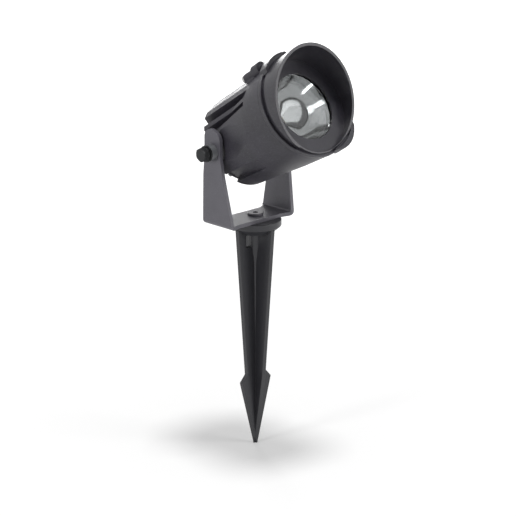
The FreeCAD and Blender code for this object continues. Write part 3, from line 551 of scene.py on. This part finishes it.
def common(tree, first, second):
    # What two closed meshes share.
    node = addNode(tree, "GeometryNodeMeshBoolean", operation="INTERSECT", solver="EXACT")
    tree.links.new(first, node.inputs[1])
    tree.links.new(second, node.inputs[1])
    return node.outputs["Mesh"]


def without(tree, whole, part):
    # The whole mesh with the part cut out of it.
    node = addNode(tree, "GeometryNodeMeshBoolean", operation="DIFFERENCE", solver="EXACT")
    tree.links.new(whole, node.inputs[0])
    tree.links.new(part, node.inputs[1])
    return node.outputs["Mesh"]


def joined(tree, *meshes):
    node = tree.nodes.new("GeometryNodeJoinGeometry")
    for mesh in meshes:
        tree.links.new(mesh, node.inputs[0])
    return node.outputs[0]


def spread(tree, start, end, mesh):
    # Puts one copy of the mesh on each point, its Z axis along the point's direction.
    direction = addNode(tree, "GeometryNodeInputNamedAttribute", {"Name": "direction"},
                        data_type="FLOAT_VECTOR")
    align = addNode(tree, "FunctionNodeAlignRotationToVector", axis="Z")
    tree.links.new(direction.outputs[0], align.inputs["Vector"])
    copies = tree.nodes.new("GeometryNodeInstanceOnPoints")
    tree.links.new(start.outputs["Geometry"], copies.inputs["Points"])
    tree.links.new(mesh, copies.inputs["Instance"])
    tree.links.new(align.outputs["Rotation"], copies.inputs["Rotation"])
    real = tree.nodes.new("GeometryNodeRealizeInstances")
    tree.links.new(copies.outputs[0], real.inputs[0])
    finish = tree.nodes.new("GeometryNodeSetMaterial")
    tree.links.new(real.outputs[0], finish.inputs["Geometry"])
    tree.links.new(start.outputs["Material"], finish.inputs["Material"])
    tree.links.new(finish.outputs["Geometry"], end.inputs[0])


screwDetail = {"coneSides": 40, "socketSides": 6, "shankSides": 24}


def makeScrewTree(detail):
    # A round or hexagonal head, chamfered, over a plain shank, with or without a hexagon socket.
    tree, start, end = newTree("screwHeads", [
        ("Head Sides", "NodeSocketInt", 6),
        ("Head Radius", "NodeSocketFloat", 0.005),
        ("Head Height", "NodeSocketFloat", 0.004),
        ("Top Radius", "NodeSocketFloat", 0.0045),
        ("Chamfer Slope", "NodeSocketFloat", 1.73),
        ("Has Socket", "NodeSocketBool", True),
        ("Socket Radius", "NodeSocketFloat", 0.001),
        ("Socket Depth", "NodeSocketFloat", 0.001),
        ("Shank Radius", "NodeSocketFloat", 0.003),
        ("Shank Length", "NodeSocketFloat", 0.01),
        ("Material", "NodeSocketMaterial", None),
    ])
    given = start.outputs
    height = given["Head Height"]
    middle = mathNode(tree, "MULTIPLY", height, 0.5)
    head = barrel(tree, given["Head Sides"], given["Head Radius"], height, middle)
    flare = mathNode(tree, "MULTIPLY", height, given["Chamfer Slope"])
    bottom = mathNode(tree, "ADD", flare, given["Top Radius"])
    head = common(tree, head, cone(tree, detail["coneSides"], given["Top Radius"], bottom, height))
    reach = mathNode(tree, "MULTIPLY", given["Socket Depth"], 2.0)  # half of it is above the head
    recess = barrel(tree, detail["socketSides"], given["Socket Radius"], reach, height)
    sunk = without(tree, head, recess)
    choice = addNode(tree, "GeometryNodeSwitch", input_type="GEOMETRY")
    tree.links.new(given["Has Socket"], choice.inputs["Switch"])
    tree.links.new(head, choice.inputs["False"])
    tree.links.new(sunk, choice.inputs["True"])
    head = choice.outputs["Output"]
    drop = mathNode(tree, "MULTIPLY", given["Shank Length"], -0.5)
    shank = barrel(tree, detail["shankSides"], given["Shank Radius"], given["Shank Length"], drop)
    spread(tree, start, end, joined(tree, head, shank))
    return tree


ringDetail = {"arcPoints": 64, "arcDegrees": 347}


def makeSplitRingTree(detail):
    # A spring washer: a flat-sectioned ring with a gap, its ends slightly out of line.
    tree, start, end = newTree("splitRings", [
        ("Ring Radius", "NodeSocketFloat", 0.0042),
        ("Section Width", "NodeSocketFloat", 0.0022),
        ("Section Height", "NodeSocketFloat", 0.0014),
        ("Rise", "NodeSocketFloat", 0.0002),
        ("Material", "NodeSocketMaterial", None),
    ])
    given = start.outputs
    arc = addNode(tree, "GeometryNodeCurveArc", {
        "Resolution": detail["arcPoints"], "Sweep Angle": math.radians(detail["arcDegrees"])})
    tree.links.new(given["Ring Radius"], arc.inputs["Radius"])
    factor = tree.nodes.new("GeometryNodeSplineParameter").outputs["Factor"]
    climb = mathNode(tree, "MULTIPLY", mathNode(tree, "SUBTRACT", factor, 0.5), given["Rise"])
    offset = tree.nodes.new("ShaderNodeCombineXYZ")
    tree.links.new(climb, offset.inputs["Z"])
    place = tree.nodes.new("GeometryNodeSetPosition")
    tree.links.new(arc.outputs[0], place.inputs["Geometry"])
    tree.links.new(offset.outputs[0], place.inputs["Offset"])
    upright = addNode(tree, "GeometryNodeSetCurveNormal", mode="Z_UP")
    tree.links.new(place.outputs[0], upright.inputs[0])
    section = addNode(tree, "GeometryNodeCurvePrimitiveQuadrilateral")
    tree.links.new(given["Section Width"], section.inputs["Width"])
    tree.links.new(given["Section Height"], section.inputs["Height"])
    sweep = addNode(tree, "GeometryNodeCurveToMesh", {"Fill Caps": True})
    tree.links.new(upright.outputs[0], sweep.inputs["Curve"])
    tree.links.new(section.outputs[0], sweep.inputs["Profile Curve"])
    spread(tree, start, end, sweep.outputs[0])
    return tree


trees = {"screws": makeScrewTree(screwDetail), "rings": makeSplitRingTree(ringDetail)}


def growOnPoints(name, tree, points, sizes, finish, body, stands):
    # Makes the repeated piece on its points, keeps the plain mesh and lets it ride on its body.
    mesh = bpy.data.meshes.new(name)
    mesh.from_pydata([place for place, direction in points], [], [])
    layer = mesh.attributes.new("direction", "FLOAT_VECTOR", "POINT")
    for index, (place, direction) in enumerate(points):
        layer.data[index].vector = direction
    piece = bpy.data.objects.new(name, mesh)
    modifier = piece.modifiers.new("grow", "NODES")
    modifier.node_group = tree
    identifiers = {item.name: item.identifier
                   for item in tree.interface.items_tree if item.in_out == "INPUT"}
    for label, value in sizes.items():
        modifier[identifiers[label]] = value
    modifier[identifiers["Material"]] = materials[finish]
    scene.collection.objects.link(piece)
    evaluated = piece.evaluated_get(bpy.context.evaluated_depsgraph_get())
    plain = bpy.data.meshes.new_from_object(evaluated)
    piece.modifiers.remove(modifier)
    piece.data = plain
    plain.materials.clear()
    plain.materials.append(materials[finish])
    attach(piece, body)
    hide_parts(stands)
    print(name, len(plain.polygons), "faces")


# The fasteners' sizes in metres; a slope is how far the chamfer's cone widens for each step down.
pivotBolts = {"Head Sides": 6, "Head Radius": 0.00577, "Head Height": 0.004,
              "Top Radius": 0.0046, "Chamfer Slope": 1.7, "Has Socket": False,
              "Shank Radius": 0.003, "Shank Length": 0.0203}
bezelScrews = {"Head Sides": 40, "Head Radius": 0.003, "Head Height": 0.0026, "Top Radius": 0.0027,
               "Chamfer Slope": 1.0, "Socket Radius": 0.0014, "Socket Depth": 0.0014,
               "Shank Radius": 0.0015, "Shank Length": 0.0315}
coverScrews = {"Head Sides": 40, "Head Radius": 0.0022, "Head Height": 0.0017, "Top Radius": 0.0018,
               "Chamfer Slope": 1.0, "Socket Radius": 0.0011, "Socket Depth": 0.001,
               "Shank Radius": 0.00125, "Shank Length": 0.009}
holderScrews = dict(coverScrews, **{"Shank Length": 0.0089})
baseBolt = {"Head Sides": 48, "Head Radius": 0.0062, "Head Height": 0.0018, "Top Radius": 0.0056,
            "Chamfer Slope": 1.0, "Socket Radius": 0.0023, "Socket Depth": 0.0007,
            "Shank Radius": 0.003, "Shank Length": 0.016}
springWashers = {"Ring Radius": 0.00417, "Section Width": 0.00222, "Section Height": 0.00135,
                 "Rise": 0.00022}

fastenerPlaces = {  # of the face under each head, and of each ring's middle
    "boltAcross": 0.0446,
    "ringAcross": 0.0438,
    "bezelRadius": 0.0416,
    "bezelForward": 0.046,
    "bezelTurns": (-24, 140),
    "coverRadius": 0.0237,
    "coverForward": -0.011,
    "coverTurns": (45, 135, 225, 315),
    "holderAcross": 0.0128,
    "holderForward": 0.0384,
    "baseHeight": 0.008,
}


def pairAcross(across):
    # One point on each side of the lamp, pointing outwards along the tilt axis.
    return [(headPoint(side * across, 0, 0), (side, 0, 0)) for side in (-1, 1)]


def pairAhead(across, forward):
    # One point on each side inside the head, pointing to its front.
    return [(headPoint(side * across, 0, forward), headDirection(0, 0, 1)) for side in (-1, 1)]


def circleBehind(radius, turns, forward):
    # Points on a circle round the head's axis, pointing to the rear.
    return [(onRing(radius, turn, forward), headDirection(0, 0, -1)) for turn in turns]


boltPoints = pairAcross(fastenerPlaces["boltAcross"])
growOnPoints("pivotBoltHeads", trees["screws"], boltPoints, pivotBolts, "fastenerSteel",
             "lamp_head", "pivot_bolts")
ringPoints = pairAcross(fastenerPlaces["ringAcross"])
growOnPoints("pivotSplitRings", trees["rings"], ringPoints, springWashers, "fastenerSteel",
             "lamp_head", "pivot_spring_washers")
bezelPoints = circleBehind(fastenerPlaces["bezelRadius"], fastenerPlaces["bezelTurns"],
                           fastenerPlaces["bezelForward"])
growOnPoints("bezelSocketScrews", trees["screws"], bezelPoints, bezelScrews, "screwSteel",
             "lamp_head", "bezel_screws")
coverPoints = circleBehind(fastenerPlaces["coverRadius"], fastenerPlaces["coverTurns"],
                           fastenerPlaces["coverForward"])
growOnPoints("coverSocketScrews", trees["screws"], coverPoints, coverScrews, "screwSteel",
             "lamp_head", "rear_cover_screws")
holderPoints = pairAhead(fastenerPlaces["holderAcross"], fastenerPlaces["holderForward"])
growOnPoints("holderSocketScrews", trees["screws"], holderPoints, holderScrews, "screwSteel",
             "lamp_head", "holder_screws")
basePoints = [(Vector((0, 0, fastenerPlaces["baseHeight"])), (0, 0, 1))]
growOnPoints("baseSocketBolt", trees["screws"], basePoints, baseBolt, "bracketCoat",
             "ground_part", "base_bolt")
print("fasteners ready")


studio = {  # metres and watts
    "floorHeight": -0.1802,
    "floorSize": 9.0,
    "floorColour": 0.8,
    "floorRoughness": 0.9,
    "glowLevels": (0.2, 0.8),  # added to the floor where it is seen, by the lamp and far away
    "glowDistances": (0.15, 1.5),
    "worldLight": 0.36,  # the world's strength as a light; where it is seen it is 1
    "lampAim": (0.0, 0.0, 0.03),
    "top": {"place": (0.0, -0.4, 3.0), "size": 0.6, "power": 44.0},
    "back": {"place": (0.85, 1.3, 0.24), "size": 0.5, "power": 4.0},
    "left": {"place": (-1.5, 0.1, 0.45), "size": 0.4, "power": 5.0},
    "front": {"place": (0.9, -1.5, 0.5), "size": 0.9, "power": 9.0},
}


def seenDirectly(tree):
    # 1 for rays from the camera, a mirror or the glass, 0 for rays that only light other things.
    path = addNode(tree, "ShaderNodeLightPath")
    seen = mathNode(tree, "MAXIMUM", path.outputs["Is Camera Ray"], path.outputs["Is Glossy Ray"])
    return mathNode(tree, "MAXIMUM", seen, path.outputs["Is Transmission Ray"])


def makeWorld(settings):
    world = bpy.data.worlds.new("studioWorld")
    scene.world = world
    world.use_nodes = True
    tree = world.node_tree
    background = tree.nodes["Background"]
    background.inputs["Color"].default_value = (1, 1, 1, 1)
    level = mathNode(tree, "MULTIPLY", seenDirectly(tree), 1 - settings["worldLight"])
    level = mathNode(tree, "ADD", level, settings["worldLight"])
    tree.links.new(level, background.inputs["Strength"])


def makeFloor(settings):
    half = settings["floorSize"] / 2
    mesh = bpy.data.meshes.new("studioFloor")
    corners = [(-half, -half), (half, -half), (half, half), (-half, half)]
    mesh.from_pydata([(x, y, settings["floorHeight"]) for x, y in corners], [], [(0, 1, 2, 3)])
    floor = bpy.data.objects.new("studioFloor", mesh)
    scene.collection.objects.link(floor)
    material = bpy.data.materials.new("floorWhite")
    material.use_nodes = True
    tree = material.node_tree
    shader = tree.nodes["Principled BSDF"]
    level = settings["floorColour"]
    shader.inputs["Base Color"].default_value = (level, level, level, 1)
    shader.inputs["Roughness"].default_value = settings["floorRoughness"]
    shader.inputs["Specular IOR Level"].default_value = 0.0
    shader.inputs["Emission Color"].default_value = (1, 1, 1, 1)
    seen = seenDirectly(tree)
    place = addNode(tree, "ShaderNodeTexCoord")
    distance = addNode(tree, "ShaderNodeVectorMath", operation="LENGTH")
    tree.links.new(place.outputs["Object"], distance.inputs[0])
    glow = stretched(tree, distance.outputs["Value"], settings["glowDistances"],
                     settings["glowLevels"])
    tree.links.new(mathNode(tree, "MULTIPLY", seen, glow), shader.inputs["Emission Strength"])
    mesh.materials.append(material)


def makeLamp(name, settings, aim):
    data = bpy.data.lights.new(name, "AREA")
    data.shape = "DISK"
    data.size = settings["size"]
    data.energy = settings["power"]
    lamp = bpy.data.objects.new(name, data)
    lamp.location = settings["place"]
    backwards = Vector(settings["place"]) - Vector(aim)
    lamp.rotation_euler = backwards.to_track_quat("Z", "Y").to_euler()
    scene.collection.objects.link(lamp)


makeWorld(studio)
makeFloor(studio)
for lampName in ("top", "back", "left", "front"):
    makeLamp(lampName + "Lamp", studio[lampName], studio["lampAim"])
print("studio ready")
